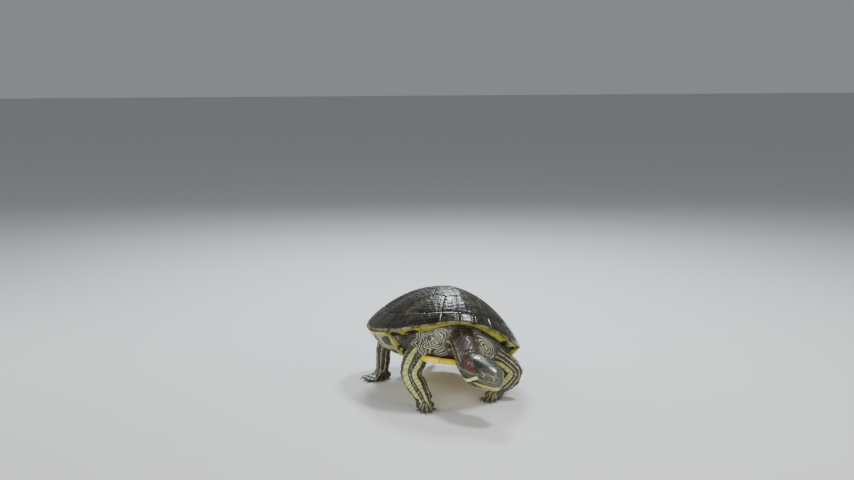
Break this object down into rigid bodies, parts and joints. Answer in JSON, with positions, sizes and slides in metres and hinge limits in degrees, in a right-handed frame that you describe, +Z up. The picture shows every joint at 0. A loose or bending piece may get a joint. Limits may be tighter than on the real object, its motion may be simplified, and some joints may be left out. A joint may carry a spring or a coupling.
{
  "type": "red-eared slider turtle",
  "caption": "Life-size still model of a young red-eared slider standing on its four feet, head reached out and turned to its left, dark wet shell, striped skin.",
  "frame": {"origin": "on the floor, under the middle of the whole model's box", "axes": "+Z up; -Y is the way the shell faces; +X is the turtle's own left"},
  "size_m": [0.1052, 0.165, 0.0654],
  "materials": {
    "carapace_horn": "wet gloss",
    "plastron_horn": "satin",
    "skin": "damp satin",
    "eye": "wet gloss",
    "claw": "satin"
  },
  "bodies": {
    "root": {"carapace": "carapace_horn", "plastron": "plastron_horn", "trunk": "skin", "head": "skin", "lower_jaw": "skin", "eye_left": "eye", "eye_right": "eye", "neck": "skin", "tail": "skin", "upper_arm_left": "skin", "upper_arm_right": "skin", "forearm_left": "skin", "forearm_right": "skin", "forefoot_left": "skin", "forefoot_right": "skin", "thigh_left": "skin", "thigh_right": "skin", "shank_left": "skin", "shank_right": "skin", "hindfoot_left": "skin", "hindfoot_right": "skin"}
  },
  "joints": []
}
